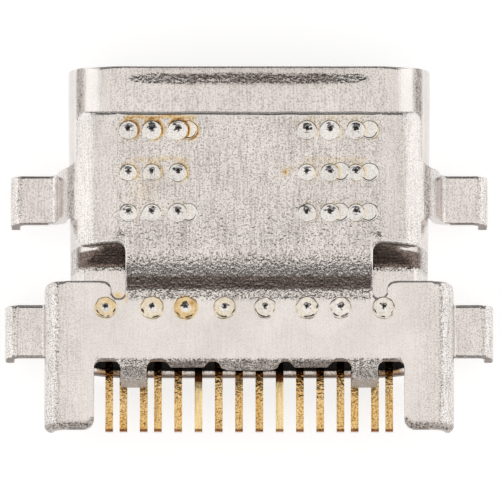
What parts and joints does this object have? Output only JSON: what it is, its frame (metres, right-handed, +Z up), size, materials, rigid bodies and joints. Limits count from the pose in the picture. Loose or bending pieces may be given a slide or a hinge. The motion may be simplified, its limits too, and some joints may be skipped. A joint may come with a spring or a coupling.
{
  "type": "usb-c socket",
  "caption": "Mid-mount USB-C receptacle: drawn steel shell, welded cover with board ears and rear prongs, centre tongue with gold contacts and flat solder tails.",
  "frame": {"origin": "centre of the plug opening, in the plane of the shell's front rim", "axes": "+Y out of the mouth, against the plug's insertion; +Z up, through the welded cover's flat face; +X across the width, to the right when looking at the back"},
  "size_m": [0.012, 0.009, 0.0035],
  "materials": {
    "shell_steel": "nickel-plated stainless sheet, satin with fine grain",
    "cover_steel": "nickel-plated stainless sheet, satin with fine grain and lengthwise brush lines",
    "inner_steel": "stamped stainless sheet",
    "insulator": "black glass-filled liquid crystal polymer",
    "contact_gold": "gold plating over copper alloy"
  },
  "bodies": {
    "root": {"inner_shell": "shell_steel", "outer_cover": "cover_steel", "upper_insulator": "insulator", "lower_insulator": "insulator", "mid_plate": "inner_steel", "upper_ground_plate": "inner_steel", "lower_ground_plate": "inner_steel", "contact_a1": "contact_gold", "contact_a4": "contact_gold", "contact_a5": "contact_gold", "contact_a6": "contact_gold", "contact_a7": "contact_gold", "contact_a8": "contact_gold", "contact_a9": "contact_gold", "contact_a12": "contact_gold", "contact_b1": "contact_gold", "contact_b4": "contact_gold", "contact_b5": "contact_gold", "contact_b6": "contact_gold", "contact_b7": "contact_gold", "contact_b8": "contact_gold", "contact_b9": "contact_gold", "contact_b12": "contact_gold"}
  },
  "joints": []
}
